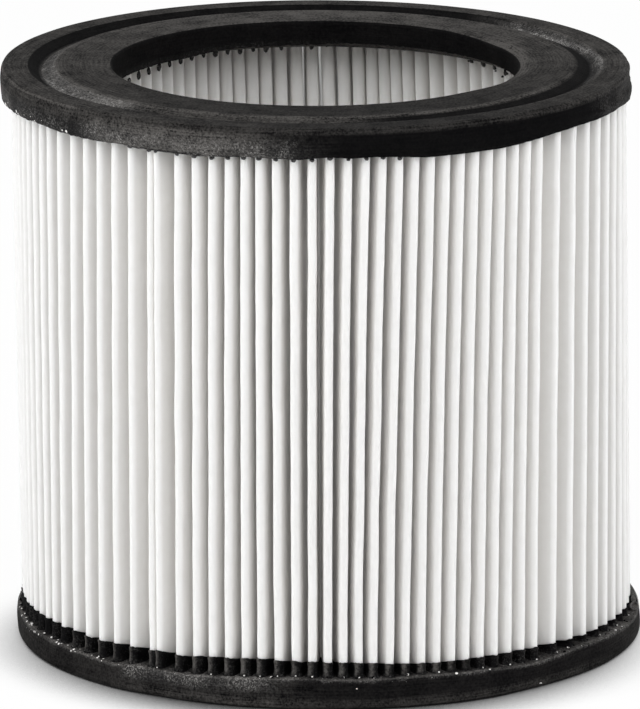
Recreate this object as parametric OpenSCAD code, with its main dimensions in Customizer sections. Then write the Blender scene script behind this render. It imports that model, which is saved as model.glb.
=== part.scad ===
/* Pleated cartridge filter for a tub vacuum.
   A ring of white pleated fleece stands between two cast foam end caps.
   Both ends are open rings, so dusty air passes from outside through the
   pleats and clean air leaves through the hole of a cap.
   Millimetres, +Z up, origin at the centre of the face it stands on. */

/* [Overall] */

// Height over both caps
filter_h = 173; // [90:1:320]

// Outer diameter of the end caps
cap_d = 186; // [110:1:300]

// Hole through each end cap
hole_d = 121; // [60:0.5:200]

/* [End caps] */

// Height of a cap's outer wall
cap_h = 9.2; // [6:0.1:16]

// Width of the flat sealing rim at the outer edge
rim_w = 8; // [4:0.1:14]

// Rounding of the rim's outer edge
rim_round = 1.2; // [0.2:0.1:2]

// Depth of the ring groove behind the sealing rim
groove_depth = 2; // [1:0.1:6]

// Width of the groove at its floor
groove_floor_w = 1.5; // [0.6:0.1:4]

// Run of the groove's outer bank
outer_bank_w = 2.4; // [0.5:0.1:6]

// Run of the groove's inner bank
inner_bank_w = 3.9; // [0.5:0.1:8]

// Rounding of the inner ring's lip at the hole
lip_round = 1.5; // [0.3:0.1:3]

// Bevel under the inner ring, inside the filter
under_bevel = 2.2; // [0.2:0.1:3]

/* [Pleated media] */

// Number of pleats around the ring
pleat_count = 104; // [40:1:140]

// Diameter over the outer folds
pleat_outer_d = 182; // [100:0.5:290]

// Diameter over the inner folds
pleat_inner_d = 150; // [70:0.5:250]

// Thickness of the fleece sheet
sheet_t = 0.8; // [0.4:0.05:1.2]

// Width of an outer fold
outer_fold_w = 2.9; // [2:0.1:4]

// Width of an inner fold
inner_fold_w = 2.4; // [1.8:0.1:3.4]

// How far the sheet is cast into each cap
potting_depth = 3.6; // [1:0.1:4.5]

// Azimuth of the glued seam, from the front
seam_at = -33; // [-180:1:180]

// Step of the seam pleat, as a share of an even step
seam_step = 0.7; // [0.66:0.01:1]

/* [Foam collar] */

// Foam that climbed the outside of the pleats over the lower cap
collar_h = 4; // [1:0.1:8]

// Thickness of that skin of foam
collar_t = 0.3; // [0.1:0.05:0.35]

/* [Hidden] */

foam_colour = "#262626";
fleece_colour = "#EDEDEA";
ring_fn = 96;
round_steps = 4;

cap_r = cap_d / 2;
hole_r = hole_d / 2;
rim_in_r = cap_r - rim_w;
groove_out_r = rim_in_r - outer_bank_w;
groove_in_r = groove_out_r - groove_floor_w;
inner_ring_r = groove_in_r - inner_bank_w;
groove_z = cap_h - groove_depth;

fold_ro = pleat_outer_d / 2;
fold_ri = pleat_inner_d / 2;
fold_drop = outer_fold_w * 0.3;
media_z = cap_h - potting_depth;
media_h = filter_h - 2 * media_z;

// The pleats are bunched by hand before casting, so the step between them
// varies: azimuth from the front in degrees, step as a share of an even one.
bunching = [[0, 0.90], [40, 0.89], [46, 1.45], [68, 1.36], [92, 1.22],
            [115, 1.00], [255, 0.97], [272, 0.87], [297, 0.92], [303, 1.16],
            [333, 1.10], [338, 0.91], [360, 0.92]];
even_step = 360 / pleat_count;
first_pleat = -2;

function near_seam(a) = abs((a - seam_at + 720) % 360 - even_step / 2) <= even_step / 2;
function pleat_step(a) = even_step * (near_seam(a) ? seam_step : lookup(a, bunching));
function walk(a, n) = n == 0 ? [a] : concat([a], walk(a + pleat_step(a), n - 1));

// The walk never ends exactly at a full turn, so the back takes up the rest.
walked = walk(first_pleat, pleat_count);
closing = first_pleat + 360 - walked[pleat_count];
function back_share(a) = min(1, max(0, (a - 100) / 155));
pleat_at = [for (a = walked) a + closing * back_share(a)];
valley_at = [for (i = [0 : pleat_count - 1]) (pleat_at[i] + pleat_at[i + 1]) / 2];

// A point at radius r on the azimuth a, moved sideways by s.
function around(a, r, s) = [r * sin(a) + s * cos(a), s * sin(a) - r * cos(a)];

// Outer face of the folded sheet, grown outwards by g for the foam collar.
function outer_face(g) = [for (i = [0 : pleat_count - 1]) each [
    around(pleat_at[i], fold_ro - fold_drop + g / 2, -outer_fold_w / 2 - g),
    around(pleat_at[i], fold_ro + g, 0),
    around(pleat_at[i], fold_ro - fold_drop + g / 2, outer_fold_w / 2 + g),
    around(valley_at[i], fold_ri + sheet_t + g, sheet_t - inner_fold_w / 2 + g),
    around(valley_at[i], fold_ri + sheet_t + g, inner_fold_w / 2 - sheet_t - g)]];

// Inner face of the folded sheet.
function inner_face() = [for (i = [0 : pleat_count - 1]) each [
    around(pleat_at[i], fold_ro - sheet_t - 0.2, sheet_t - outer_fold_w / 2),
    around(pleat_at[i], fold_ro - sheet_t - 0.2, outer_fold_w / 2 - sheet_t),
    around(valley_at[i], fold_ri, -inner_fold_w / 2),
    around(valley_at[i], fold_ri, inner_fold_w / 2)]];

function arc(cx, cy, r, from, to) =
    [for (k = [0 : round_steps]) let (a = from + (to - from) * k / round_steps)
        [cx + r * cos(a), cy + r * sin(a)]];

// Half section of a cap, its inner face at height 0 and its rim at cap_h.
cap_section = concat(
    [[hole_r, under_bevel], [hole_r + 2 * under_bevel, 0], [cap_r, 0]],
    arc(cap_r - rim_round, cap_h - rim_round, rim_round, 0, 90),
    [[rim_in_r, cap_h], [groove_out_r, groove_z], [groove_in_r, groove_z],
     [inner_ring_r, cap_h]],
    arc(hole_r + lip_round, cap_h - lip_round, lip_round, 90, 180));

module cap_ring() {
    rotate_extrude($fn = ring_fn) polygon(cap_section);
}

module folded_sheet(z0, h) {
    translate([0, 0, z0]) difference() {
        linear_extrude(h) polygon(outer_face(0));
        translate([0, 0, -1]) linear_extrude(h + 2) polygon(inner_face());
    }
}

module collar_ring() {
    translate([0, 0, cap_h - 1]) difference() {
        linear_extrude(collar_h + 1) polygon(outer_face(collar_t));
        translate([0, 0, -1]) cylinder(h = collar_h + 3, r = fold_ri - 1, $fn = ring_fn);
    }
}

// What the sheet displaces: the sheet itself inside the cap, and over the
// cap everything within its outer face.
module sheet_and_inside() {
    difference() {
        translate([0, 0, media_z]) linear_extrude(media_h) polygon(outer_face(0));
        translate([0, 0, media_z - 1]) linear_extrude(potting_depth + 1) polygon(inner_face());
    }
}

module pleated_media() {
    color(fleece_colour) folded_sheet(media_z, media_h);
}

module top_end_cap() {
    color(foam_colour) difference() {
        translate([0, 0, filter_h - cap_h]) cap_ring();
        folded_sheet(media_z, media_h);
    }
}

module bottom_end_cap() {
    color(foam_colour) difference() {
        union() {
            translate([0, 0, cap_h]) mirror([0, 0, 1]) cap_ring();
            collar_ring();
        }
        sheet_and_inside();
    }
}

top_end_cap();
pleated_media();
bottom_end_cap();
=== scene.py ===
"""Pleated cartridge filter for a wet and dry tub vacuum, standing on one end.

One white fleece sheet is folded into a ring of pleats, and a ring of black foam is cast on each
end. Here each piece is one operator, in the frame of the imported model: metres, +Z up, standing
face at height 0, and the side that the camera sees towards -Y.
"""
import math

import bmesh
import bpy
from bpy.props import FloatProperty, IntProperty, PointerProperty, StringProperty
from mathutils import Matrix, Vector, noise


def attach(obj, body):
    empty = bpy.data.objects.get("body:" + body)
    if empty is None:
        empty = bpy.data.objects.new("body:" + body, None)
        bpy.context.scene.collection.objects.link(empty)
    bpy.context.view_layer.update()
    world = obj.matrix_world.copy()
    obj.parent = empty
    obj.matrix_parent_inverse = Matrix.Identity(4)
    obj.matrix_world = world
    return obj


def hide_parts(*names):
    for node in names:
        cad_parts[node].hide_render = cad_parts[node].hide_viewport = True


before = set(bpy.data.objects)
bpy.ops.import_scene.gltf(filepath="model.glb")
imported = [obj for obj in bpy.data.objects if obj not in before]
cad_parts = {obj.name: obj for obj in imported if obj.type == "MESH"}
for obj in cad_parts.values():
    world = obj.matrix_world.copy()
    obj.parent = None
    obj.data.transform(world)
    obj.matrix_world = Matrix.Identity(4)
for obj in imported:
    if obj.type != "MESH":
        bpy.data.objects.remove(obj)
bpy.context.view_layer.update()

bl_info = {
    "name": "Pleated Cartridge Filter",
    "version": (1, 0, 0),
    "blender": (4, 5, 0),
    "location": "3D View > Sidebar > Filter",
    "description": "Makes a pleated fleece filter ring with cast foam end caps",
    "category": "Object",
}

MM = 0.001

# The pleats are bunched by hand before the caps are cast, so the step from one pleat to the next
# varies round the ring: azimuth from the front in degrees, step there in degrees.
STEP_ROUND_THE_RING = (
    (-142, 3.05), (-120, 3.25), (-90, 3.1), (-66, 3.2), (-60, 3.3), (-53, 4.55), (-48, 3.72),
    (-41, 3.74), (-37, 4.0), (-28, 4.61), (-22, 3.39), (-11, 2.82), (-4, 3.36), (20, 3.02),
    (36, 2.98), (43, 3.1), (43.1, 5.05), (60, 4.7), (66, 4.5), (90, 4.2), (115, 3.75), (139, 3.45),
    (152, 3.8), (156, 3.2), (160, 2.72), (164, 2.8), (172, 3.47), (188, 3.6), (193, 3.1), (220, 3.05),
)
# Turning of the pleats from the upper cap to the lower one, in degrees, by azimuth.
LEAN_ROUND_THE_RING = (
    (-180, -1.2), (-110, -1.9), (-61, -1.95), (-52, -2.55), (-40, -1.93), (-30, -1.57), (-18, -1.8),
    (-9, -1.06), (-3, -1.2), (3, -2.03), (12, -3.25), (30, -3.43), (45, -2.87), (55, -2.78),
    (69, -3.38), (120, -2.2), (180, -1.2),
)
SEAM_STEP = 1.51
SEAM_FROM, SEAM_TO = -32.2, -30.2

# The open edges of the cast foam are uneven: azimuth in degrees, height in millimetres. First
# how far the lower edges of the upper cap lie above its inner face, at its wall and at its hole.
UPPER_WALL_EDGE = (
    (-180, 0.4), (-120, 0.2), (-90, -1.1), (-80, -0.9), (-74, -0.4), (-65, -0.25), (-62, 0.2), (-54, -0.2),
    (-44, -0.25), (-38, 0.2), (-34, -0.3), (-21, -0.6), (-12, 0.1), (-3, -0.4), (2, 0.3), (6, -0.1),
    (11, 0.1), (16, -0.3), (20, -0.9), (36, -0.8), (42, -0.2), (49, 0.5), (56, 0.8), (74, 0.5),
    (81, -0.35), (89, -1.2), (110, -0.2), (180, 0.4),
)
HOLE_EDGE = ((-180, 1.4), (-152, 1.3), (-141, 0.3), (-111, 0.0), (0, 1.5), (117, 2.1), (172, 2.0), (180, 1.4))
# Height of the lower cap's wall, and height to which the foam climbed the pleats above it.
LOWER_WALL_TOP = (
    (-180, 8.6), (-83, 8.5), (-71, 7.8), (-52, 7.8), (-43, 7.3), (-37, 8.3), (-26, 8.1), (-6, 9.5),
    (9, 8.9), (17, 9.2), (28, 8.8), (41, 7.8), (53, 9.0), (66, 8.4), (81, 7.2), (100, 8.2), (180, 8.6),
)
CLIMBED_TO = (
    (-180, 12.6), (-95, 12.3), (-57, 12.9), (-41, 12.9), (-37, 13.4), (-27, 13.0), (-24, 13.7),
    (-13, 14.4), (-5, 14.0), (3, 13.8), (12, 12.8), (19, 12.2), (24, 12.1), (34, 12.0), (41, 11.8),
    (50, 11.3), (58, 10.7), (68, 10.4), (84, 9.8), (100, 11.5), (180, 12.6),
)
# Outward lean of the lower cap's wall at its foot.
LOWER_FOOT_OUT = (
    (-180, 0.0), (-86, -0.3), (-60, 0.5), (-42, 1.0), (-33, 0.1), (-23, 0.5), (0, 0.5), (25, 1.0),
    (32, 0.8), (40, -0.2), (70, 0.0), (90, 0.3), (120, 0.0), (180, 0.0),
)
# Pale specks in the lower cap's foam, partly fleece fibres and partly painted glints: azimuth,
# depth below the wall's upper edge in millimetres, and size.
FIBRES_AND_GLINTS = (
    (-10.3, -0.2, 1.4), (-4.6, 3.0, 0.6), (5.1, 2.7, 0.7), (23.8, 0.2, 1.4), (30.6, 0.1, 0.8),
    (42.0, 6.6, 1.0), (48.6, -0.2, 1.3), (49.6, -1.0, 0.9), (53.5, 0.2, 0.8), (62.5, -0.4, 0.8),
    (67.0, 0.0, 0.9), (70.5, 0.1, 0.8), (74.0, -0.3, 0.9), (-26.0, 0.6, 0.6), (-38.5, 0.8, 0.7),
)
# Share of dull grey in the black skin, by azimuth. On the plateau and the rim it is painted sheen, paler at
# the back, and partly dust.
PLATEAU_SHEEN_AND_DUST = (
    (-180, 0.9), (-130, 0.6), (-90, 0.5), (-45, 0.36), (0, 0.26), (45, 0.3), (90, 0.46), (130, 0.7),
    (180, 0.9),
)
RIM_SHEEN_AND_DUST = (
    (-180, 0.55), (-100, 0.45), (-60, 0.55), (-40, 0.5), (-15, 0.32), (20, 0.26), (60, 0.4), (100, 0.5),
    (180, 0.55),
)
# On the walls the grey share is painted light: a painted highlight where the wall faces the lamp on the left,
# and dark on the right.
UPPER_WALL_PAINTED_LIGHT = (
    (-180, 0.4), (-90, 0.5), (-55, 0.45), (-40, 0.75), (-20, 0.95), (-6, 0.2), (5, 0.03), (62, 0.02),
    (74, 0.2), (95, 0.3), (120, 0.3), (180, 0.4),
)
LOWER_WALL_PAINTED_LIGHT = (
    (-180, 0.3), (-90, 0.35), (-60, 0.16), (-35, 0.2), (-12, 0.3), (0, 0.08), (60, 0.1), (75, 0.22),
    (95, 0.3), (120, 0.3), (180, 0.3),
)


# Sizes and colours

class FilterSizes(bpy.types.PropertyGroup):
    height: FloatProperty(
        name="Height", description="From the standing face to the upper rim",
        default=0.173, min=0.05, max=0.4, unit="LENGTH", subtype="DISTANCE")
    cap_radius: FloatProperty(
        name="Cap radius", description="Outer radius of both end caps",
        default=0.0932, min=0.03, max=0.2, unit="LENGTH", subtype="DISTANCE")
    upper_cap_height: FloatProperty(
        name="Upper cap height", description="Height of the upper cap's wall",
        default=0.0088, min=0.003, max=0.03, unit="LENGTH", subtype="DISTANCE")
    lower_cap_height: FloatProperty(
        name="Lower cap height", description="Height of the lower cap between the pleats",
        default=0.0088, min=0.003, max=0.03, unit="LENGTH", subtype="DISTANCE")
    hole_radius: FloatProperty(
        name="Hole radius", description="Radius of the hole through each cap",
        default=0.0602, min=0.01, max=0.15, unit="LENGTH", subtype="DISTANCE")
    groove_depth: FloatProperty(
        name="Groove depth", description="Depth of the ring groove behind the sealing rim",
        default=0.002, min=0.0005, max=0.006, unit="LENGTH", subtype="DISTANCE")
    cap_shift: FloatProperty(
        name="Cap shift", description="How far each cap sits off the axis, the upper one to the left",
        default=0.00166, min=0.0, max=0.005, unit="LENGTH", subtype="DISTANCE")
    pleats: IntProperty(
        name="Pleats", description="Number of outer folds round the ring",
        default=104, min=12, max=200)
    first_pleat: FloatProperty(
        name="First pleat", description="Azimuth of the pleat nearest the front, under the upper cap",
        default=math.radians(-1.22), unit="ROTATION", subtype="ANGLE")
    pleat_outer: FloatProperty(
        name="Outer fold radius", description="Radius over the outer folds",
        default=0.0913, min=0.03, max=0.2, unit="LENGTH", subtype="DISTANCE")
    pleat_inner: FloatProperty(
        name="Inner fold radius", description="Radius inside the inner folds",
        default=0.075, min=0.02, max=0.2, unit="LENGTH", subtype="DISTANCE")
    sheet: FloatProperty(
        name="Fleece thickness", description="Thickness of the fleece",
        default=0.0008, min=0.0002, max=0.003, unit="LENGTH", subtype="DISTANCE")
    outer_fold: FloatProperty(
        name="Outer fold width", description="Width over one outer fold",
        default=0.0025, min=0.0017, max=0.005, unit="LENGTH", subtype="DISTANCE")
    potting: FloatProperty(
        name="Potting depth", description="How far the fleece is cast into each cap",
        default=0.0036, min=0.001, max=0.006, unit="LENGTH", subtype="DISTANCE")


class FilterColours(bpy.types.PropertyGroup):
    fleece: StringProperty(
        name="Fleece", description="sRGB colour of the polyester fleece", default="#FDFBF8")
    fleece_dense: StringProperty(
        name="Dense fleece", description="sRGB colour where the fibres lie denser", default="#F5F2EE")
    foam: StringProperty(
        name="Foam", description="sRGB colour of the cast foam's skin", default="#060607")
    # Dull grey on the black skin: painted light, painted sheen and dust.
    foam_light_and_dust: StringProperty(
        name="Dull foam", description="sRGB colour of rubbed and dusty foam skin", default="#504E4C")
    # Pale cell walls: a painted glint colour.
    foam_cell_glint: StringProperty(
        name="Burst cells", description="sRGB colour of burst cell walls", default="#949290")
    # Pale specks: fleece fibres caught in the foam, and painted glints.
    lint_and_glints: StringProperty(
        name="Lint", description="sRGB colour of fleece fibres caught in the foam", default="#E9E7E5")
    floor: StringProperty(
        name="Floor", description="sRGB colour of the studio floor", default="#F4F4F4")


# Small tools

def linear(colour):
    """An sRGB hex colour as linear red, green, blue and full alpha."""
    parts = [int(colour[k:k + 2], 16) / 255 for k in (1, 3, 5)]
    return [p / 12.92 if p <= 0.04045 else ((p + 0.055) / 1.055) ** 2.4 for p in parts] + [1.0]


def along(table, at):
    """Value of a table of (place, value) at a place, on straight lines between its rows."""
    if at <= table[0][0]:
        return table[0][1]
    for (a, va), (b, vb) in zip(table, table[1:]):
        if at <= b:
            return va + (vb - va) * (at - a) / (b - a)
    return table[-1][1]


def soft_step(low, high, x):
    """0 at low and before it, 1 at high and past it, and a smooth change between."""
    t = min(1.0, max(0.0, (x - low) / (high - low)))
    return t * t * (3 - 2 * t)


def between(low, high, fade, x):
    """1 from low to high, and a smooth fall to 0 within fade outside them."""
    return soft_step(low - fade, low, x) * soft_step(high + fade, high, x)


def rough(x, y=0.0, z=0.0):
    """Smooth noise from about -1 to 1, the same on each run."""
    return noise.noise(Vector((x, y, z)))


def around(azimuth, radius, sideways=0.0):
    """Point at a radius on an azimuth from the front, moved sideways, in the same unit."""
    a = math.radians(azimuth)
    return (radius * math.sin(a) + sideways * math.cos(a),
            sideways * math.sin(a) - radius * math.cos(a))


def polar(x, y, x_centre=0.0):
    """Azimuth from the front in degrees, and radius, of a point about a centre."""
    return math.degrees(math.atan2(x - x_centre, -y)), math.hypot(x - x_centre, y)


def front_turn(azimuth):
    """The same azimuth between -180 and 180 degrees."""
    return (azimuth + 180) % 360 - 180


def add_node(tree, kind, settings=(), inputs=()):
    """Adds one node, sets its properties, and gives its inputs values or links."""
    node = tree.nodes.new(kind)
    for key, value in dict(settings).items():
        setattr(node, key, value)
    for key, value in dict(inputs).items():
        if isinstance(value, bpy.types.NodeSocket):
            tree.links.new(value, node.inputs[key])
        else:
            node.inputs[key].default_value = value
    return node


def new_material(name):
    """An empty node material and its tree."""
    material = bpy.data.materials.new(name)
    material.use_nodes = True
    material.node_tree.nodes.clear()
    return material, material.node_tree


def deselect_all():
    if bpy.context.mode != "OBJECT":
        bpy.ops.object.mode_set(mode="OBJECT")
    bpy.ops.object.select_all(action="DESELECT")


def mesh_piece(name, points_mm, faces):
    """A new smooth object at the origin from points in millimetres."""
    mesh = bpy.data.meshes.new(name)
    mesh.from_pydata([(x * MM, y * MM, z * MM) for x, y, z in points_mm], [], faces)
    mesh.validate()
    for polygon in mesh.polygons:
        polygon.use_smooth = True
    piece = bpy.data.objects.new(name, mesh)
    bpy.context.collection.objects.link(piece)
    return piece


def finish_piece(piece, node, material):
    """Ties a finished piece to the frame and gives it its material."""
    piece.data.materials.clear()
    piece.data.materials.append(material)
    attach(piece, "root")
    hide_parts(node)


# Pleats

def pleat_azimuths(count, first):
    """Azimuths of the outer folds under the upper cap, from the one nearest the front to the
    right. The walk goes right over the back and left past the seam, and the hidden left side
    takes up what is left over."""
    right = [first]
    while right[-1] < 218:
        right.append(right[-1] + along(STEP_ROUND_THE_RING, right[-1]))
    left = [first]
    while len(left) + len(right) - 1 < count:
        at = left[-1]
        left.append(at - (SEAM_STEP if SEAM_FROM < at < SEAM_TO else along(STEP_ROUND_THE_RING, at)))
    over = (right[-1] - 360 + along(STEP_ROUND_THE_RING, left[-1])) - left[-1]
    fixed = -62
    reach = left[-1] - fixed
    left = [a + over * max(0.0, (a - fixed) / reach) for a in left]
    return right + [a + 360 for a in reversed(left[1:])]


class Pleats:
    """Where the folds of the sheet lie at each height. All lengths are in millimetres."""

    def __init__(self, sizes):
        self.count = sizes.pleats
        self.at = pleat_azimuths(self.count, math.degrees(sizes.first_pleat))
        self.outer = sizes.pleat_outer / MM
        self.inner = sizes.pleat_inner / MM
        self.half_sheet = sizes.sheet / MM / 2
        self.half_outer = sizes.outer_fold / MM / 2
        self.top = (sizes.height - sizes.upper_cap_height) / MM

    def centre(self, z):
        """The ring leans a little from the lower cap's centre to the upper cap's."""
        return 1.03 - 1.76 * (z - 22) / 129

    def ridge(self, k, z):
        """Azimuth of outer fold k at height z."""
        turn, k = divmod(k, self.count)
        at = self.at[k]
        u = (self.top - z) / 155
        lean = along(LEAN_ROUND_THE_RING, front_turn(at)) * (u + 0.25 * u * (1 - u))
        wander = 0.11 * rough(k * 3.7, z / 24) + 0.07 * rough(k * 5.1 + 40, z / 8)
        return at + 360 * turn + lean + wander

    def valley(self, k, z):
        """Azimuth of the inner fold between outer folds k and k + 1 at height z. At the front the
        inner folds are drawn together, so the flanks there stand slanted."""
        middle = (self.ridge(k, z) + self.ridge(k + 1, z)) / 2
        front = front_turn(middle)
        drawn = 0.62 * math.tanh((front + 1.5) / 2) * math.exp(-(front / 14) ** 2)
        return middle - drawn + 0.1 * rough(k * 2.3 + 80, z / 30)

    def outer_fold(self, k, z):
        """Azimuth, centre radius and half width of outer fold k at height z."""
        ridge = self.ridge(k, z)
        pitch = math.radians(min(ridge - self.ridge(k - 1, z), self.ridge(k + 1, z) - ridge))
        half = min(self.half_outer, 0.46 * pitch * self.outer)
        sunk = 0.22 * abs(rough(k % self.count * 1.9 + 10, z / 35))
        return ridge, self.outer - sunk - half, half

    def inner_fold(self, k, z):
        """Azimuth, centre radius and half width to the middle of the sheet of inner fold k."""
        half_step = math.radians(self.ridge(k + 1, z) - self.ridge(k, z)) / 2 * self.inner
        front = front_turn(self.ridge(k, z))
        wide = 1.35 - 0.75 * math.exp(-(front / 16) ** 2)
        half = min(wide, half_step - self.half_sheet - 0.1)
        return self.valley(k, z), self.inner + self.half_sheet + half, half

    def face(self, k, z, grow, arc, flank, bottom):
        """Points of a face of the sheet over outer fold k and round inner fold k, at a distance
        from the middle of the sheet, outwards if positive."""
        ridge, reach, half = self.outer_fold(k, z)
        after, after_reach, after_half = self.outer_fold(k + 1, z)
        valley, floor, inner_half = self.inner_fold(k, z)
        half += grow - self.half_sheet
        after_half += grow - self.half_sheet
        inner_half = max(inner_half - grow, 0.04)
        points = self.half_round(ridge, reach, half, arc, 1)
        points += self.flank(k, z, 1, (ridge, reach, half), (valley, floor, -inner_half), flank)
        points += self.half_round(valley, floor, inner_half, bottom, -1)
        points += self.flank(k, z, 2, (valley, floor, inner_half), (after, after_reach, -after_half), flank)
        return [self.place(point, z) for point in points]

    def half_round(self, azimuth, centre, radius, steps, way):
        """Half a circle round a fold's centre, bulging outwards or inwards."""
        turns = [math.pi * (j / (steps - 1) - 0.5) for j in range(steps)]
        return [(azimuth, centre + way * radius * math.cos(t), radius * math.sin(t)) for t in turns]

    def flank(self, k, z, side, start, end, steps):
        """Points of the flank from one fold to the next, bowed a little sideways."""
        bow = 0.28 * rough(k * 4.3 + 17 * side, z / 60)
        (ax, ay), (bx, by) = around(*start), around(*end)
        points = []
        for j in range(1, steps + 1):
            f = j / (steps + 1)
            azimuth, radius = polar(ax + (bx - ax) * f, ay + (by - ay) * f)
            points.append((azimuth, radius, bow * 4 * f * (1 - f)))
        return points

    def place(self, point, z):
        x, y = around(*point)
        return (x + self.centre(z), y, z)


def folded_fleece(sizes):
    """The sheet as one closed mesh: outer face, inner face, and the two cut ends in the caps."""
    pleats = Pleats(sizes)
    low = (sizes.lower_cap_height - sizes.potting) / MM
    high = (sizes.height - sizes.upper_cap_height + sizes.potting) / MM
    half = pleats.half_sheet
    rows = 43
    points, outer_n, inner_n = [], 12, 10
    for row in range(rows):
        z = low + (high - low) * row / (rows - 1)
        for k in range(pleats.count):
            points += pleats.face(k, z, half, 7, 1, 3)
        for k in range(pleats.count):
            points += pleats.face(k, z, -half, 3, 1, 5)
    outer_ring, inner_ring = outer_n * pleats.count, inner_n * pleats.count
    ring = outer_ring + inner_ring
    faces = []
    for row in range(rows - 1):
        a, b = row * ring, (row + 1) * ring
        for j in range(outer_ring):
            n = (j + 1) % outer_ring
            faces.append((a + j, a + n, b + n, b + j))
        for j in range(outer_ring, ring):
            n = outer_ring + (j + 1 - outer_ring) % inner_ring
            faces.append((a + n, a + j, b + j, b + n))
    top = (rows - 1) * ring
    for k in range(pleats.count):
        outer = [(k * outer_n + j) % outer_ring for j in range(outer_n + 1)]
        inner = [outer_ring + (k * inner_n + j) % inner_ring for j in range(inner_n + 1)]
        faces.append(tuple(reversed(outer)) + tuple(inner))
        faces.append(tuple(top + j for j in outer) + tuple(top + j for j in reversed(inner)))
    return mesh_piece("pleated_fleece", points, faces)


# Cast caps

def bend(r, z, radius_r, radius_z, start, end, steps):
    """Points of an elliptic arc in a cap's section."""
    return [(r + radius_r * math.cos(math.radians(start + (end - start) * j / steps)),
             z + radius_z * math.sin(math.radians(start + (end - start) * j / steps)))
            for j in range(steps + 1)]


def straight(a, b, steps):
    """Points between two points of a section, without the ends."""
    return [(a[0] + (b[0] - a[0]) * j / steps, a[1] + (b[1] - a[1]) * j / steps)
            for j in range(1, steps)]


def cap_section(sizes, wall_height, belly):
    """Section of a cap as (radius, height over the inner face), in millimetres: up the bevel and
    the hole's wall, over the inner ring, through the groove, over the rim and down the wall."""
    cap, hole = sizes.cap_radius / MM, sizes.hole_radius / MM
    h, depth, edge = wall_height / MM, sizes.groove_depth / MM, 1.4
    bevel_foot = (hole + 4.4, 0.0)
    hole_edge = bend(hole + 0.4, 1.9, 0.4, 0.4, 240, 180, 3)
    lip = bend(hole + 1.0, h - 0.9, 1.0, 0.9, 180, 90, 6)
    shoulder = bend(cap - 16.6, h - 0.5, 0.7, 0.5, 90, 35, 3)
    bank_foot = bend(cap - 11.9, h - depth + 0.35, 0.45, 0.35, 215, 270, 3)
    groove_corner = bend(cap - 11.0, h - depth + 0.3, 0.3, 0.3, 270, 325, 3)
    rim_inner = bend(cap - 7.9, h - 0.4, 0.4, 0.4, 140, 90, 3)
    rim_outer = bend(cap - edge, h - edge, edge, edge, 90, 5, 6)
    wall = []
    for j in range(1, 9):
        f = j / 9
        wall.append((cap + belly * math.sin(math.pi * f) - 0.2 * f, h - edge - (h - edge - 0.7) * f))
    foot = bend(cap - 0.9, 0.7, 0.7, 0.7, 0, -90, 4)
    section = [bevel_foot] + straight(bevel_foot, hole_edge[0], 4) + hole_edge
    section += straight(hole_edge[-1], lip[0], 4) + lip + straight(lip[-1], shoulder[0], 8) + shoulder
    section += straight(shoulder[-1], bank_foot[0], 4) + bank_foot + groove_corner
    section += straight(groove_corner[-1], rim_inner[0], 3) + rim_inner
    section += straight(rim_inner[-1], rim_outer[0], 5) + rim_outer + wall + foot
    return section + straight(foot[-1], section[0], 6)


def turned_ring(name, section, x_centre, segments):
    """A ring turned from its section: one circle, extruded and resized row after row, and its
    last row bridged to the first. Section points are (radius, height) in millimetres."""
    deselect_all()
    r, z = section[0]
    bpy.ops.mesh.primitive_circle_add(vertices=segments, radius=r * MM, fill_type="NOTHING",
                                      location=(x_centre * MM, 0, z * MM))
    ring = bpy.context.object
    ring.name = ring.data.name = name
    bpy.ops.object.mode_set(mode="EDIT")
    bpy.ops.mesh.select_mode(type="EDGE")
    bpy.ops.mesh.select_all(action="SELECT")
    for next_r, next_z in section[1:]:
        bpy.ops.mesh.extrude_edges_move(TRANSFORM_OT_translate={"value": (0, 0, (next_z - z) * MM)})
        if abs(next_r - r) > 1e-6:
            bpy.ops.transform.resize(value=(next_r / r, next_r / r, 1),
                                     center_override=(x_centre * MM, 0, 0))
        r, z = next_r, next_z
    bpy.ops.mesh.select_all(action="DESELECT")
    mesh = bmesh.from_edit_mesh(ring.data)
    for edge in mesh.edges:
        edge.select_set(edge.is_boundary or edge.is_wire)
    bmesh.update_edit_mesh(ring.data)
    bpy.ops.mesh.bridge_edge_loops()
    bpy.ops.mesh.select_all(action="SELECT")
    bpy.ops.mesh.normals_make_consistent(inside=False)
    bpy.ops.object.mode_set(mode="OBJECT")
    deselect_all()
    ring.select_set(True)
    bpy.ops.object.transform_apply(location=True, rotation=True, scale=True)
    bpy.ops.object.shade_smooth_by_angle(angle=math.radians(50))
    return ring


def map_ring(ring, section, x_centre):
    """UV map of a turned ring in metres: along its circumference, and along its section."""
    length, lengths = 0.0, [0.0]
    for a, b in zip(section, section[1:]):
        length += math.hypot(b[0] - a[0], b[1] - a[1])
        lengths.append(length)
    mesh = ring.data
    segments = len(mesh.vertices) // len(section)
    layer = mesh.uv_layers.new(name="turned")
    for polygon in mesh.polygons:
        rows = [v // segments for v in polygon.vertices]
        turns = [math.atan2(mesh.vertices[v].co.x - x_centre * MM, -mesh.vertices[v].co.y)
                 for v in polygon.vertices]
        wraps = max(turns) - min(turns) > math.pi
        for loop, row, turn in zip(polygon.loop_indices, rows, turns):
            turn += 2 * math.pi if wraps and turn < 0 else 0
            v = lengths[row]
            if max(rows) - min(rows) > 1 and row == 0:
                v = length
            layer.data[loop].uv = (turn * 0.085, v * MM)


def set_unevenly(ring, x_centre, move):
    """Moves a ring's points as cast foam sets unevenly: move gives the change of radius and of
    height for an azimuth, a radius and a height, all in millimetres and degrees."""
    for vertex in ring.data.vertices:
        x, y, z = vertex.co / MM
        azimuth, r = polar(x, y, x_centre)
        out, up = move(azimuth, r, z)
        across = out / r * MM
        vertex.co += Vector(((x - x_centre) * across, y * across, up * MM))


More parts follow.
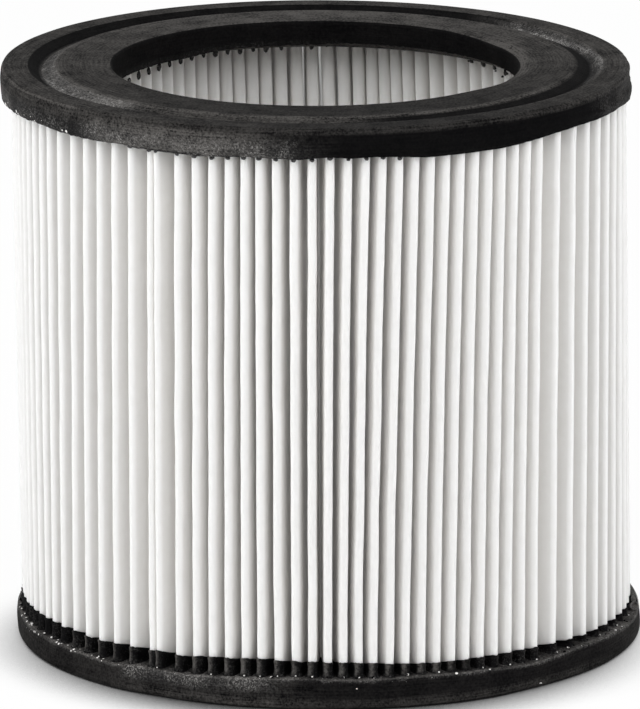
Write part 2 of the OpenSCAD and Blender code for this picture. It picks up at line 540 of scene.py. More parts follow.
def set_values(piece, name, values):
    """A point attribute of a piece from a list of values."""
    layer = piece.data.attributes.new(name, "FLOAT", "POINT")
    layer.data.foreach_set("value", values)


def paint(piece, x_centre, name, value_at):
    """A point attribute whose value comes from a function of azimuth, radius and height."""
    values = []
    for vertex in piece.data.vertices:
        x, y, z = vertex.co / MM
        azimuth, r = polar(x, y, x_centre)
        values.append(min(1.0, max(0.0, value_at(azimuth, r, z))))
    set_values(piece, name, values)


def join_to(ring, pieces):
    """Applies the place of each piece and joins it to a ring."""
    deselect_all()
    for piece in pieces:
        piece.select_set(True)
    bpy.context.view_layer.objects.active = pieces[0]
    bpy.ops.object.transform_apply(location=True, rotation=True, scale=True)
    ring.select_set(True)
    bpy.context.view_layer.objects.active = ring
    bpy.ops.object.join()


def add_beads(ring, name, places, radius, looks):
    """Drops of foam: one lumpy ball, copied to its places, each turned its own way. A place is
    (x, y, z, width, height), the first three in millimetres and the others as shares. Looks are
    the values of its point attributes."""
    deselect_all()
    bpy.ops.mesh.primitive_ico_sphere_add(subdivisions=2, radius=radius * MM)
    first = bpy.context.object
    first.name = first.data.name = name
    bpy.ops.object.shade_smooth()
    for vertex in first.data.vertices:
        vertex.co *= 1 + 0.3 * noise.noise(vertex.co / MM * 1.3) + 0.14 * noise.noise(vertex.co / MM * 4)
    for key, value in looks.items():
        set_values(first, key, [value] * len(first.data.vertices))
    copies = []
    for j, (x, y, z, width, height) in enumerate(places):
        drop = first.copy()
        drop.data = first.data.copy()
        drop.location = (x * MM, y * MM, z * MM)
        drop.rotation_euler = (0.35 * rough(j * 3.3), 0.35 * rough(j * 4.9, 5), j * 2.1)
        drop.scale = (width, width * (1 + 0.25 * rough(j * 6.1)), height)
        bpy.context.collection.objects.link(drop)
        copies.append(drop)
    bpy.data.objects.remove(first)
    join_to(ring, copies)


def add_fins(ring, places):
    """Thin fins of foam that stood up at the rim of the pour: a cone, pinched flat and curled
    towards the pleats. A place is (azimuth, x, y, z, width, height) in degrees and millimetres."""
    fins = []
    for azimuth, x, y, z, width, height in places:
        deselect_all()
        bpy.ops.mesh.primitive_cone_add(vertices=14, radius1=MM, radius2=0.04 * MM, depth=2 * MM)
        fin = bpy.context.object
        fin.name = fin.data.name = "foam_fin"
        bpy.ops.object.mode_set(mode="EDIT")
        bpy.ops.mesh.select_all(action="SELECT")
        bpy.ops.mesh.subdivide(number_cuts=4)
        bpy.ops.object.mode_set(mode="OBJECT")
        bpy.ops.object.shade_smooth()
        for vertex in fin.data.vertices:
            point = vertex.co / MM
            up = (point.z + 1) / 2
            lump = 1 + 0.25 * rough(point.x * 1.4, point.y * 1.4, up * 3)
            curled = point.y * 0.42 + 1.6 * up * up - 0.2 * up
            vertex.co = Vector((point.x * width / 2 * lump, curled * lump, up * height)) * MM
        set_values(fin, "wet", [1.0] * len(fin.data.vertices))
        fin.location = (x * MM, y * MM, z * MM)
        fin.rotation_euler = (0, 0, math.radians(azimuth))
        fins.append(fin)
    join_to(ring, fins)


def add_curl(ring, x, y, z):
    """A curl of foam film, standing at the foot of a fin: a lumpy torus, tilted to the front."""
    deselect_all()
    bpy.ops.mesh.primitive_torus_add(major_segments=24, minor_segments=10,
                                     major_radius=1.2 * MM, minor_radius=0.34 * MM)
    curl = bpy.context.object
    curl.name = curl.data.name = "foam_curl"
    bpy.ops.object.shade_smooth()
    for vertex in curl.data.vertices:
        vertex.co *= 1 + 0.2 * noise.noise(vertex.co / MM * 1.1)
    set_values(curl, "wet", [1.0] * len(curl.data.vertices))
    # Painted highlight: the curl is light grey all over.
    set_values(curl, "painted_light_and_dust", [0.9] * len(curl.data.vertices))
    curl.location = (x * MM, y * MM, z * MM)
    curl.rotation_euler = (math.radians(38), math.radians(-14), 0)
    join_to(ring, [curl])


def climbing_foam(sizes):
    """Foam that climbed the pleats above the lower cap: a skin that follows the folds, flared at
    its foot and its top, waisted between, and ragged at its upper edge."""
    pleats = Pleats(sizes)
    height = sizes.lower_cap_height / MM
    half = pleats.half_sheet
    arc, flank, bottom = 9, 3, 3
    per_pleat = arc + 2 * flank + bottom
    # Lift and share of the climb at which a row lies, and its distance from the fleece.
    rows = ((-1.6, 0.0, -0.12), (-1.6, 0.0, 0.8), (0.0, 0.02, 0.8), (0.0, 0.09, 0.5), (0.0, 0.2, 0.34),
            (0.0, 0.4, 0.22), (0.0, 0.6, 0.2), (0.0, 0.8, 0.28), (0.0, 0.93, 0.42), (0.0, 1.0, 0.3),
            (0.05, 1.0, 0.08), (0.0, 1.0, -0.12))
    # Painted light where the foam over a fold faces the lamps: a strip left of its middle, on the right
    #     side a faint one right of it.
    left_lit_strip = (0, 0.1, 1, 1, 0.35)
    right_lit_strip = (0, 0, 0, 0, 0, 0.3, 0.7, 0.2)
    points, painted_light_and_dust = [], []
    for lift, share, grow in rows:
        inside = 0 < share < 1
        for k in range(pleats.count):
            for j, (x, y, _) in enumerate(pleats.face(k, height + 2, half + grow, arc, flank, bottom)):
                azimuth, r = polar(x, y, pleats.centre(height))
                strip = left_lit_strip[j] if j < len(left_lit_strip) else 0
                faint = right_lit_strip[j] if j < len(right_lit_strip) else 0
                painted_light_and_dust.append(0.02 + strip * between(-50, 20, 10, azimuth) * soft_step(0, 0.35, share)
                              + 0.3 * faint * between(24, 60, 10, azimuth))
                foot = along(LOWER_WALL_TOP, azimuth)
                climb = along(CLIMBED_TO, azimuth) - foot
                ragged = 0.3 * rough(x / 0.9, y / 0.9, 3) + 0.3 * rough(x / 3.5, y / 3.5, 9)
                ragged += 0.35 * rough(k * 2.7, 5)
                depth = min(max(0.0, pleats.outer - r), 11)
                z = foot + lift + share * (climb - 0.27 * depth + ragged * (1 if share > 0.5 else 0.3))
                swell = 0.16 * rough(x / 0.8, y / 0.8, share * 5) if inside else 0
                points.append((x + swell * x / r, y + swell * y / r, z))
    ring = per_pleat * pleats.count
    faces = []
    for row in range(len(rows)):
        a, b = row * ring, (row + 1) % len(rows) * ring
        for j in range(ring):
            n = (j + 1) % ring
            faces.append((a + j, a + n, b + n, b + j))
    skin = mesh_piece("climbing_foam", points, faces)
    set_values(skin, "painted_light_and_dust", painted_light_and_dust)
    set_values(skin, "open_cells_and_glints", [0.05] * len(painted_light_and_dust))
    return skin


# Materials

def fleece_material(colours):
    """Spunbond polyester fleece, pressed from endless fibres and heat-set: matt white, lightly
    clouded where the fibres lie denser, with a fine felted grain, and light comes through it."""
    material, tree = new_material("spunbond_polyester_fleece")
    place = add_node(tree, "ShaderNodeTexCoord").outputs["Object"]
    # Clouds of denser fibres, about 4 mm across.
    clouds = add_node(tree, "ShaderNodeTexNoise", {}, {
        "Vector": place, "Scale": 250.0, "Detail": 4.0, "Roughness": 0.6})
    colour = add_node(tree, "ShaderNodeMix", {"data_type": "RGBA"}, {
        "Factor": clouds.outputs["Fac"], "A": linear(colours.fleece), "B": linear(colours.fleece_dense)})
    # Fibres are 0.02 mm thick, too fine to show, so the grain is drawn at 0.35 mm.
    grain = add_node(tree, "ShaderNodeTexNoise", {}, {
        "Vector": place, "Scale": 2800.0, "Detail": 3.0, "Roughness": 0.7})
    bump = add_node(tree, "ShaderNodeBump", {}, {
        "Height": grain.outputs["Fac"], "Strength": 0.35, "Distance": 0.0001})
    shader = add_node(tree, "ShaderNodeBsdfPrincipled", {}, {
        "Base Color": colour.outputs["Result"], "Roughness": 0.95, "Specular IOR Level": 0.2,
        "Subsurface Weight": 1.0, "Subsurface Radius": (1.0, 1.0, 1.0), "Subsurface Scale": 0.0025,
        "Normal": bump.outputs["Normal"]})
    add_node(tree, "ShaderNodeOutputMaterial", {}, {"Surface": shader.outputs["BSDF"]})
    return material


def foam_material(colours):
    """Polyurethane foam cast in an open mould: near-black, with a satin skin where it met the
    mould, drawn in faint lines round the ring, with dull grey on it as painted light, painted sheen
    and dust; burst cells that glitter where it did not, their pale walls painted glints; a wet
    gloss on the drops; and pale specks, partly lint from the fleece and partly painted glints."""
    material, tree = new_material("cast_polyurethane_foam")
    place = add_node(tree, "ShaderNodeTexCoord").outputs["Object"]
    open_cells_and_glints = add_node(tree, "ShaderNodeAttribute", {"attribute_name": "open_cells_and_glints"}).outputs["Fac"]
    painted_light_and_dust = add_node(tree, "ShaderNodeAttribute", {"attribute_name": "painted_light_and_dust"}).outputs["Fac"]
    wet = add_node(tree, "ShaderNodeAttribute", {"attribute_name": "wet"}).outputs["Fac"]
    lint_and_glints = add_node(tree, "ShaderNodeAttribute", {"attribute_name": "lint_and_glints"}).outputs["Fac"]
    # Patches of about 8 mm, and lines about 15 mm long and 0.5 mm wide, which break up the painted light and
    # dust.
    patches = add_node(tree, "ShaderNodeTexNoise", {}, {
        "Vector": place, "Scale": 120.0, "Detail": 6.0, "Roughness": 0.62})
    turned = add_node(tree, "ShaderNodeUVMap", {"uv_map": "turned"}).outputs["UV"]
    stretched = add_node(tree, "ShaderNodeMapping", {}, {"Vector": turned, "Scale": (65.0, 2000.0, 1.0)})
    lines = add_node(tree, "ShaderNodeTexNoise", {}, {
        "Vector": stretched.outputs["Vector"], "Scale": 1.0, "Detail": 3.0, "Roughness": 0.6})
    # Skin grain of about 0.7 mm.
    grain = add_node(tree, "ShaderNodeTexNoise", {}, {
        "Vector": place, "Scale": 1400.0, "Detail": 4.0, "Roughness": 0.65})
    mottle = add_node(tree, "ShaderNodeMath", {"operation": "MULTIPLY_ADD"}, {
        0: patches.outputs["Fac"], 1: 2.2, 2: -3.3})
    drawn = add_node(tree, "ShaderNodeMath", {"operation": "MULTIPLY_ADD"}, {
        0: lines.outputs["Fac"], 1: 2.2, 2: mottle.outputs["Value"]})
    shade = add_node(tree, "ShaderNodeMath", {"operation": "MULTIPLY_ADD"}, {
        0: grain.outputs["Fac"], 1: 3.8, 2: drawn.outputs["Value"]})
    # The attribute mixes in dull grey: painted light and painted sheen on the black skin, and dust.
    tone = add_node(tree, "ShaderNodeMath", {"operation": "MULTIPLY", "use_clamp": True}, {
        0: shade.outputs["Value"], 1: painted_light_and_dust})
    # Pinholes of about 0.5 mm, some 7 mm apart.
    holes = add_node(tree, "ShaderNodeTexVoronoi", {}, {"Vector": place, "Scale": 140.0})
    whole = add_node(tree, "ShaderNodeMapRange", {}, {
        "Value": holes.outputs["Distance"], "From Min": 0.025, "From Max": 0.06})
    skin_tone = add_node(tree, "ShaderNodeMath", {"operation": "MULTIPLY"}, {
        0: tone.outputs["Value"], 1: whole.outputs["Result"]})
    skin_colour = add_node(tree, "ShaderNodeMix", {"data_type": "RGBA"}, {
        "Factor": skin_tone.outputs["Value"], "A": linear(colours.foam), "B": linear(colours.foam_light_and_dust)})
    # Walls of burst cells, about 0.4 mm wide, each tilted its own way and some of them paler: the paler ones
    # are painted glints.
    cells = add_node(tree, "ShaderNodeTexVoronoi", {}, {"Vector": place, "Scale": 2700.0})
    pick = add_node(tree, "ShaderNodeSeparateColor", {}, {"Color": cells.outputs["Color"]})
    pale = add_node(tree, "ShaderNodeMath", {"operation": "POWER"}, {0: pick.outputs["Red"], 1: 3.5})
    torn_open = add_node(tree, "ShaderNodeMapRange", {}, {
        "Value": patches.outputs["Fac"], "From Min": 0.42, "From Max": 0.62, "To Min": 0.35, "To Max": 2.4})
    torn_here = add_node(tree, "ShaderNodeMath", {"operation": "MULTIPLY"}, {
        0: torn_open.outputs["Result"], 1: open_cells_and_glints})
    cell_tone = add_node(tree, "ShaderNodeMath", {"operation": "MULTIPLY"}, {
        0: pale.outputs["Value"], 1: torn_here.outputs["Value"]})
    cell_colour = add_node(tree, "ShaderNodeMix", {"data_type": "RGBA"}, {
        "Factor": cell_tone.outputs["Value"], "A": skin_colour.outputs["Result"],
        "B": linear(colours.foam_cell_glint)})
    # Pale specks, up to 0.8 mm wide and some 1.6 mm apart: partly lint from the fleece, partly painted
    # glints.
    specks = add_node(tree, "ShaderNodeTexVoronoi", {}, {"Vector": place, "Scale": 620.0})
    reach = add_node(tree, "ShaderNodeMath", {"operation": "MULTIPLY"}, {0: lint_and_glints, 1: 0.4})
    left_over = add_node(tree, "ShaderNodeMath", {"operation": "SUBTRACT"}, {
        0: reach.outputs["Value"], 1: specks.outputs["Distance"]})
    speck = add_node(tree, "ShaderNodeMapRange", {}, {
        "Value": left_over.outputs["Value"], "From Min": 0.0, "From Max": 0.06})
    colour = add_node(tree, "ShaderNodeMix", {"data_type": "RGBA"}, {
        "Factor": speck.outputs["Result"], "A": cell_colour.outputs["Result"], "B": linear(colours.lint_and_glints)})
    # The skin's grain over a soft unevenness of about 5 mm.
    swell = add_node(tree, "ShaderNodeBump", {}, {
        "Height": patches.outputs["Fac"], "Strength": 0.5, "Distance": 0.0006})
    skin = add_node(tree, "ShaderNodeBump", {}, {
        "Height": grain.outputs["Fac"], "Strength": 0.45, "Distance": 0.00012,
        "Normal": swell.outputs["Normal"]})
    tilt = add_node(tree, "ShaderNodeVectorMath", {"operation": "SUBTRACT"}, {
        0: cells.outputs["Color"], 1: (0.5, 0.5, 0.5)})
    steep = add_node(tree, "ShaderNodeMath", {"operation": "MULTIPLY"}, {0: open_cells_and_glints, 1: 1.7})
    tilted = add_node(tree, "ShaderNodeVectorMath", {"operation": "SCALE"}, {
        0: tilt.outputs["Vector"], "Scale": steep.outputs["Value"]})
    facets = add_node(tree, "ShaderNodeVectorMath", {"operation": "ADD"}, {
        0: skin.outputs["Normal"], 1: tilted.outputs["Vector"]})
    normal = add_node(tree, "ShaderNodeVectorMath", {"operation": "NORMALIZE"}, {
        0: facets.outputs["Vector"]})
    torn = add_node(tree, "ShaderNodeMath", {"operation": "MULTIPLY"}, {0: open_cells_and_glints, 1: 0.6})
    shine = add_node(tree, "ShaderNodeMath", {"operation": "MAXIMUM"}, {0: torn.outputs["Value"], 1: wet})
    shader = add_node(tree, "ShaderNodeBsdfPrincipled", {}, {
        "Base Color": colour.outputs["Result"], "Roughness": 0.75, "Specular IOR Level": 0.025,
        "Coat Weight": shine.outputs["Value"], "Coat Roughness": 0.2, "Coat IOR": 1.6,
        "Coat Normal": normal.outputs["Vector"], "Normal": normal.outputs["Vector"]})
    add_node(tree, "ShaderNodeOutputMaterial", {}, {"Surface": shader.outputs["BSDF"]})
    return material


def floor_material(colours):
    """Matt white studio paper. The camera sees it white, and darker where the filter hides it
    from the light, which comes more from behind, so the shadow lies in front."""
    material, tree = new_material("white_studio_paper")
    rays = add_node(tree, "ShaderNodeLightPath")
    to_light = add_node(tree, "ShaderNodeCombineXYZ", {}, {"X": 0.06, "Y": 0.96, "Z": 0.26})
    near = add_node(tree, "ShaderNodeAmbientOcclusion", {"samples": 16}, {
        "Distance": 0.025, "Normal": to_light.outputs["Vector"]})
    lit = add_node(tree, "ShaderNodeMapRange", {}, {
        "Value": near.outputs["AO"], "From Min": 0.44, "From Max": 0.9})
    paper = add_node(tree, "ShaderNodeBsdfDiffuse", {}, {"Color": linear(colours.floor)})
    shade = add_node(tree, "ShaderNodeMath", {"operation": "POWER"}, {0: lit.outputs["Result"], 1: 0.95})
    white = add_node(tree, "ShaderNodeEmission", {}, {"Color": shade.outputs["Value"], "Strength": 1.0})
    seen = add_node(tree, "ShaderNodeMixShader", {}, {0: 0.95, 1: paper.outputs[0], 2: white.outputs[0]})
    mix = add_node(tree, "ShaderNodeMixShader", {}, {
        0: rays.outputs["Is Camera Ray"], 1: paper.outputs[0], 2: seen.outputs[0]})
    add_node(tree, "ShaderNodeOutputMaterial", {}, {"Surface": mix.outputs[0]})
    return material


# Operators

class FILTER_OT_fleece(bpy.types.Operator):
    """Folds the fleece sheet into its ring of pleats"""
    bl_idname = "filter.fleece"
    bl_label = "Pleated fleece"

    def execute(self, context):
        sizes, colours = context.scene.filter_sizes, context.scene.filter_colours
        fleece = folded_fleece(sizes)
        finish_piece(fleece, "pleated_media", fleece_material(colours))
        return {"FINISHED"}


class FILTER_OT_upper_cap(bpy.types.Operator):
    """Turns the upper cap and hangs its drops of foam on the folds"""
    bl_idname = "filter.upper_cap"
    bl_label = "Upper cap"

    def execute(self, context):
        sizes, colours = context.scene.filter_sizes, context.scene.filter_colours
        rim, wall = sizes.height / MM, sizes.upper_cap_height / MM
        base = rim - wall
        hole, cap_r = sizes.hole_radius / MM, sizes.cap_radius / MM
        centre = -sizes.cap_shift / MM - 0.25
        section = [(r, z + base) for r, z in cap_section(sizes, sizes.upper_cap_height, 0.35)]
        cap = turned_ring("upper_cap", section, centre, 720)
        map_ring(cap, section, centre)

        def uneven(azimuth, r, z):
            """Ragged lower edges, a soft lip at the right of the hole, folds at the right end."""
            share = (z - base) / wall
            if r < hole + 4.5:
                if share > 0.6:
                    return 0.0, -0.8 * between(70, 118, 25, azimuth) * soft_step(hole + 4.5, hole + 0.5, r)
                edge = along(HOLE_EDGE, azimuth) - 1.5 + 0.3 * rough(azimuth / 1.3, 2)
                return 0.0, edge * soft_step(hole + 4.3, hole + 0.6, r) * soft_step(0.6, 0.25, share)
            if r < cap_r - 2.5:
                return 0.0, 0.0
            a = math.radians(azimuth)
            out = 0.12 * rough(math.sin(a) * 6, math.cos(a) * 6, share * 2)
            right_end = between(64, 96, 10, azimuth)
            out += right_end * (0.55 * soft_step(0.5, 0.25, share) - 0.3 * between(0.5, 0.62, 0.15, share))
            out += right_end * 0.3 * rough(azimuth / 3, share * 3, 7)
            out -= right_end * 0.3 * abs(rough(azimuth / 1.2, share * 5, 3))
            near_edge = soft_step(0.5, 0.05, share)
            ragged = (0.12 + 0.22 * soft_step(-20, -45, azimuth)) * rough(azimuth / 1.1, 3)
            up = near_edge * (along(UPPER_WALL_EDGE, azimuth) + ragged)
            return out, up

        set_unevenly(cap, centre, uneven)
        pleats = Pleats(sizes)
        drops, drips = [], []
        for k in range(pleats.count):
            ridge, reach, half = pleats.outer_fold(k, base)
            azimuth = front_turn(ridge)
            edge = base + along(UPPER_WALL_EDGE, azimuth)
            size = 0.85 + 0.4 * rough(k * 7.7)
            if -37 < azimuth < 17 or abs(azimuth) > 120:
                x, y = around(ridge, reach + half - 0.35)
                drops.append((x + pleats.centre(base), y, edge - 0.45, size, 0.95 * size))
            valley = pleats.valley(k, base)
            azimuth = front_turn(valley)
            x, y = around(valley, pleats.inner + 0.1)
            # The hole's far wall hides the folds behind it down to this height.
            behind = y - math.sqrt(max(0.0, hole * hole - x * x))
            hidden = base + along(HOLE_EDGE, azimuth) - 0.275 * behind
            size = (0.8 + 0.5 * rough(k * 3.1, 8)) * (0.55 if azimuth > 142 else 1.0)
            if -172 < azimuth < -127 or 127 < azimuth < 142 or (abs(azimuth) > 142 and k % 3):
                drips.append((x + pleats.centre(base), y, hidden + 0.8, size, 1.9 * size))
            if 126 < azimuth < 142:
                for j in range(4):
                    x, y = around(valley + 1.8 * rough(k * 1.7, j * 5), pleats.inner + 0.2)
                    low = 2.4 * abs(rough(k * 2.9, j * 3 + 1)) - 0.6
                    size = 0.5 + 0.3 * rough(k * 2.1, j * 7)
                    drips.append((x + pleats.centre(base), y, hidden - low, size, 0.8 * size))

        # Burst cells where the banks and the lower wall face the lamp on the left, and a glitter line on the
        # right bank; their pale walls are painted glints.
        def open_cells_and_glints(azimuth, r, z):
            if z < rim - wall * 0.75 and r < cap_r - 1.5:
                return 0.07
            left_bank = between(77.3, 80.9, 0.4, r) * between(-150, -52, 18, azimuth)
            right_bank = between(82.3, 84.6, 0.4, r) * between(80, 132, 12, azimuth)
            cells = (0.35 * left_bank + 0.2 * right_bank) * (z > base + wall * 0.6)
            cells += 0.35 * between(80.2, 81.2, 0.3, r) * between(-78, -46, 8, azimuth)
            right_line = 82.5 + 2.2 * soft_step(118, 92, azimuth)
            cells += 0.75 * between(-0.4, 0.4, 0.3, r - right_line) * between(84, 130, 6, azimuth)
            if r > cap_r - 1.5:
                low = soft_step(base + 7, base + 2.5, z)
                cells += 0.34 * low * between(-40, -8, 10, azimuth)
                cells += 0.16 * low * between(-95, -40, 10, azimuth)
                cells += 0.07 * between(66, 96, 10, azimuth)
            return cells

        # Painted light and dust: painted sheen on the plateau and rim, painted highlights on the shoulder,
        # the banks and the groove's edges that face the lamp on the left, painted light on the wall, and dust
        # near the hole's right side.
        def painted_light_and_dust(azimuth, r, z):
            if z < base + 0.2 or r < hole + 0.7:
                return 0.05
            if r < 77.4:
                near_shoulder = between(76.2, 77.4, 1.0, r) * between(-60, 50, 30, azimuth)
                left_edge = between(76.8, 77.5, 0.4, r) * between(-150, -60, 12, azimuth)
                dusty = soft_step(67, 61.5, r) * between(68, 112, 15, azimuth)
                return along(PLATEAU_SHEEN_AND_DUST, azimuth) + 0.5 * near_shoulder + 0.55 * left_edge + 0.45 * dusty
            if r < 85.3:
                left_bank = between(77.2, 80.9, 0.4, r) * between(-150, -52, 18, azimuth)
                left_foot = between(80.5, 81.2, 0.3, r) * between(-140, -44, 8, azimuth)
                near_bank = between(77.4, 79.5, 1.0, r) * between(-50, 5, 12, azimuth)
                right_bank = between(82.5, 84.8, 0.4, r) * between(76, 138, 10, azimuth)
                right_edge = between(84.7, 85.2, 0.3, r) * between(55, 128, 12, azimuth)
                right_foot = between(-0.4, 0.4, 0.3, r - 82.5 - 2.2 * soft_step(118, 92, azimuth))
                right_foot *= between(84, 130, 8, azimuth)
                return (0.05 + 0.45 * left_bank + 0.5 * left_foot + 0.5 * near_bank
                        + 0.25 * right_bank + 0.65 * right_edge + 0.8 * right_foot)
            if z > rim - 1.3 and r > cap_r - 1.6:
                # A painted highlight along the rim's outer edge on the left.
                edge_highlight = between(rim - 0.75, rim - 0.35, 0.15, z) * between(-112, -56, 14, azimuth)
                return along(RIM_SHEEN_AND_DUST, azimuth) + 1.0 * edge_highlight
            if z > rim - 0.8:
                return along(RIM_SHEEN_AND_DUST, azimuth)
            # On the left the wall's painted light fades towards its lower edge.
            dark = between(-71, -47, 7, azimuth) * soft_step(base + 6.5, base + 3.5, z)
            return along(UPPER_WALL_PAINTED_LIGHT, azimuth) * (1 - 0.8 * dark)

        # Pale specks: fleece fibres and dust on the left wall and by the hole, and painted glints on the
        # groove's banks.
        def lint_and_glints(azimuth, r, z):
            if r > cap_r - 1.5:
                return 0.85 * soft_step(base + 2.4, base + 0.6, z) * between(-92, -46, 6, azimuth)
            if 80 < r < 81.4:
                return 0.5 * between(-60, -44, 4, azimuth)
            if 82 < r < 83.2:
                return 0.5 * between(106, 127, 5, azimuth)
            return 0.14 * between(60.8, 64, 1, r) * between(75, 130, 10, azimuth) * (z > rim - 1.2)

        paint(cap, centre, "open_cells_and_glints", open_cells_and_glints)
        paint(cap, centre, "painted_light_and_dust", painted_light_and_dust)
        paint(cap, centre, "lint_and_glints", lint_and_glints)
        # The drops carry a wet gloss, a few burst cells and a trace of the painted light grey.
        drop_looks = {"open_cells_and_glints": 0.2, "painted_light_and_dust": 0.05, "wet": 0.8}
        add_beads(cap, "foam_drop", drops, 0.95, drop_looks)
        add_beads(cap, "foam_drip", drips, 0.85, drop_looks)
        finish_piece(cap, "top_end_cap", foam_material(colours))
        return {"FINISHED"}


class FILTER_OT_lower_cap(bpy.types.Operator):
    """Turns the lower cap and adds the foam that climbed the pleats above it"""
    bl_idname = "filter.lower_cap"
    bl_label = "Lower cap"

    def execute(self, context):
        sizes, colours = context.scene.filter_sizes, context.scene.filter_colours
        tall, cap_r = sizes.lower_cap_height / MM, sizes.cap_radius / MM
        centre = sizes.cap_shift / MM
        section = [(r, tall - z) for r, z in cap_section(sizes, sizes.lower_cap_height, 0.15)]
        cap = turned_ring("lower_cap", section, centre, 720)
        map_ring(cap, section, centre)

        def uneven(azimuth, r, z):
            """The wall's wavy upper edge, and its foot that stands out here and there."""
            share = z / tall
            top = along(LOWER_WALL_TOP, azimuth) - tall + 0.18 * rough(azimuth / 1.4, 30)
            up = top * soft_step(0.3, 1.0, share) * soft_step(84, 90, r)
            if r < cap_r - 2.5:
                return 0.0, up
            a = math.radians(azimuth)
            out = 0.1 * rough(math.sin(a) * 7 + 20, math.cos(a) * 7, share * 2)
            out += along(LOWER_FOOT_OUT, azimuth) * soft_step(0.7, 0.0, share)
            out += 0.4 * between(66, 110, 20, azimuth) + 0.2 * between(-110, -66, 20, azimuth)
            return out, up

        set_unevenly(cap, centre, uneven)

        def below_edge(azimuth, z):
            return along(LOWER_WALL_TOP, azimuth) - z

        # Burst cells on the left of the wall's upper part and along its upper edge, where it faces the lamps;
        # their pale walls are painted glints.
        def open_cells_and_glints(azimuth, r, z):
            if r < 90:
                return 0.15
            down = below_edge(azimuth, z)
            left = between(-38, -12, 4, azimuth) * soft_step(5.0, 2.0, down)
            edge = soft_step(1.2, 0.4, down) * soft_step(cap_r - 1.3, cap_r - 0.7, r)
            return max(0.36 * left, 0.2 * edge)

        # Painted light: on the wall by azimuth, a painted highlight line along its upper edge, and a lighter
        # band low on the wall.
        def painted_light_and_dust(azimuth, r, z):
            if r < 90 or z < 0.2:
                return 0.1
            down = below_edge(azimuth, z)
            low_band = between(0.8, 2.6, 0.6, z) * between(-30, 50, 20, azimuth)
            if r < cap_r - 1.3:
                return 0.02
            edge = soft_step(0.8, 0.3, down) * soft_step(cap_r - 1.3, cap_r - 0.7, r)
            wall_tone = along(LOWER_WALL_PAINTED_LIGHT, azimuth) * soft_step(cap_r - 1.3, cap_r - 0.5, r)
            return wall_tone + 0.45 * edge + 0.2 * low_band

        # Pale specks near the wall's upper edge: partly fibres, and painted glints on the ledge, most on the
        # left.
        def lint_and_glints(azimuth, r, z):
            upper = soft_step(2.5, 0.5, below_edge(azimuth, z)) * (r > 90)
            return upper * (0.2 * between(-80, 80, 6, azimuth) + 0.4 * between(-84, -46, 5, azimuth))

        paint(cap, centre, "open_cells_and_glints", open_cells_and_glints)
        paint(cap, centre, "painted_light_and_dust", painted_light_and_dust)
        paint(cap, centre, "lint_and_glints", lint_and_glints)
        join_to(cap, [climbing_foam(sizes)])
        pleats = Pleats(sizes)
        drops, fibres = [], []
        for k in range(pleats.count):
            ridge, reach, half = pleats.outer_fold(k, tall)
            foot = along(LOWER_WALL_TOP, front_turn(ridge))
            x, y = around(ridge + 0.3 * rough(k * 2.9), reach + half + 0.4)
            size = 0.75 + 0.4 * rough(k * 5.3, 2)
            drops.append((x + pleats.centre(tall), y, foot + 0.1, size, size))
            # At each fold's foot a pale speck: a painted glint where the foam's meniscus catches the lamp.
            x, y = around(ridge + 0.5 * rough(k * 6.9), reach + half + 0.7 + 0.3 * rough(k * 8.3, 1))
            size = 0.65 + 1.0 * rough(k * 3.9, 6)
            if size > 0.4:
                fibres.append((x + pleats.centre(tall), y, foot + 0.35, size, 0.9 * size))
        for azimuth, down, size in FIBRES_AND_GLINTS:
            x, y = around(azimuth, cap_r + (-0.5 if down < 0.5 else 0.05))
            fibres.append((x + centre, y, along(LOWER_WALL_TOP, azimuth) - down, size, 0.5 * size))
        add_beads(cap, "foot_drop", drops, 0.5, {"open_cells_and_glints": 0.2, "wet": 1.0})
        add_beads(cap, "fibre_and_glint_specks", fibres, 0.4, {"lint_and_glints": 1.3})
        fins = []
        for azimuth, radius, width, height in ((88, 93.0, 3.2, 5.2), (-89, 92.6, 1.8, 4.0)):
            x, y = around(azimuth, radius)
            fins.append((azimuth, x + centre, y, along(LOWER_WALL_TOP, azimuth) - 0.8, width, height))
        add_fins(cap, fins)
        x, y = around(84, 92.3)
        add_curl(cap, x + centre, y, along(LOWER_WALL_TOP, 84) + 1.1)
        finish_piece(cap, "bottom_end_cap", foam_material(colours))
        return {"FINISHED"}


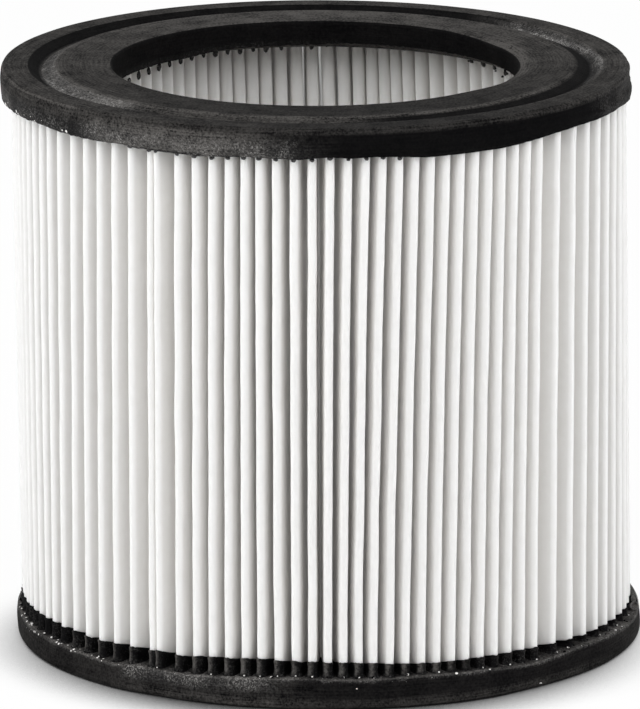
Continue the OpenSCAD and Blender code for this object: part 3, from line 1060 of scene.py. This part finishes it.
class FILTER_OT_studio(bpy.types.Operator):
    """Sets the floor, the lights and the camera"""
    bl_idname = "filter.studio"
    bl_label = "Studio"

    def execute(self, context):
        scene, colours = context.scene, context.scene.filter_colours
        deselect_all()
        bpy.ops.mesh.primitive_plane_add(size=9.0, location=(0, 0, 0))
        floor = bpy.context.object
        floor.name = floor.data.name = "studio_floor"
        floor.data.materials.append(floor_material(colours))

        world = bpy.data.worlds.new("white_studio")
        scene.world = world
        world.use_nodes = True
        tree = world.node_tree
        tree.nodes.clear()
        rays = add_node(tree, "ShaderNodeLightPath")
        seen = add_node(tree, "ShaderNodeMath", {"operation": "MAXIMUM"}, {
            0: rays.outputs["Is Camera Ray"], 1: rays.outputs["Is Transmission Ray"]})
        strength = add_node(tree, "ShaderNodeMapRange", {}, {
            "Value": seen.outputs[0], "To Min": 0.33, "To Max": 1.0})
        sky = add_node(tree, "ShaderNodeBackground", {}, {
            "Color": (1, 1, 1, 1), "Strength": strength.outputs["Result"]})
        add_node(tree, "ShaderNodeOutputWorld", {}, {"Surface": sky.outputs[0]})

        aim = Vector((0, 0, 0.09))
        for name, azimuth, lift, distance, width, height, power in (
                ("left_softbox", -30, 42, 1.5, 1.0, 1.0, 7.1),
                ("right_softbox", 30, 42, 1.6, 1.2, 1.0, 7.0),
                ("left_lit_strip", -72, 28, 1.7, 0.8, 1.0, 10.2),
                ("right_lit_strip", 80, 24, 1.8, 0.8, 1.0, 9.5),
                ("back_light", 180, 42, 2.2, 3.0, 1.6, 14.0)):
            light = bpy.data.lights.new(name, "AREA")
            light.shape = "RECTANGLE"
            light.size, light.size_y, light.energy = width, height, power
            lamp = bpy.data.objects.new(name, light)
            scene.collection.objects.link(lamp)
            x, y = around(azimuth, distance * math.cos(math.radians(lift)))
            lamp.location = aim + Vector((x, y, distance * math.sin(math.radians(lift))))
            lamp.rotation_euler = (aim - lamp.location).to_track_quat("-Z", "Y").to_euler()

        camera = bpy.data.cameras.new("camera")
        camera.sensor_width = 36.0
        camera.lens = 472.36
        camera.clip_start, camera.clip_end = 0.05, 50.0
        eye = bpy.data.objects.new("camera", camera)
        scene.collection.objects.link(eye)
        rise = math.radians(15.40)
        stand = Matrix.Translation((-0.00166, -2.8 * math.cos(rise), 2.8 * math.sin(rise)))
        turn = Matrix.Rotation(math.radians(-0.022), 4, "Z")
        tilt = Matrix.Rotation(math.radians(90 - 13.734), 4, "X")
        roll = Matrix.Rotation(math.radians(-0.071), 4, "Z")
        eye.matrix_world = stand @ turn @ tilt @ roll
        scene.camera = eye
        scene.view_settings.view_transform = "Standard"
        return {"FINISHED"}


class FILTER_PT_panel(bpy.types.Panel):
    """Lists the filter's pieces and sizes"""
    bl_idname = "FILTER_PT_panel"
    bl_label = "Pleated filter"
    bl_space_type = "VIEW_3D"
    bl_region_type = "UI"
    bl_category = "Filter"

    def draw(self, context):
        layout = self.layout
        for group in (context.scene.filter_sizes, context.scene.filter_colours):
            for key in group.__annotations__:
                layout.prop(group, key)
        for operator in OPERATORS:
            layout.operator(operator.bl_idname)


OPERATORS = (FILTER_OT_fleece, FILTER_OT_upper_cap, FILTER_OT_lower_cap, FILTER_OT_studio)
CLASSES = (FilterSizes, FilterColours, *OPERATORS, FILTER_PT_panel)


def register():
    for cls in CLASSES:
        bpy.utils.register_class(cls)
    bpy.types.Scene.filter_sizes = PointerProperty(type=FilterSizes)
    bpy.types.Scene.filter_colours = PointerProperty(type=FilterColours)


def unregister():
    del bpy.types.Scene.filter_colours
    del bpy.types.Scene.filter_sizes
    for cls in reversed(CLASSES):
        bpy.utils.unregister_class(cls)


def main():
    """Makes the filter and its studio."""
    register()
    bpy.ops.filter.fleece()
    bpy.ops.filter.upper_cap()
    bpy.ops.filter.lower_cap()
    bpy.ops.filter.studio()


if __name__ == "__main__":
    main()
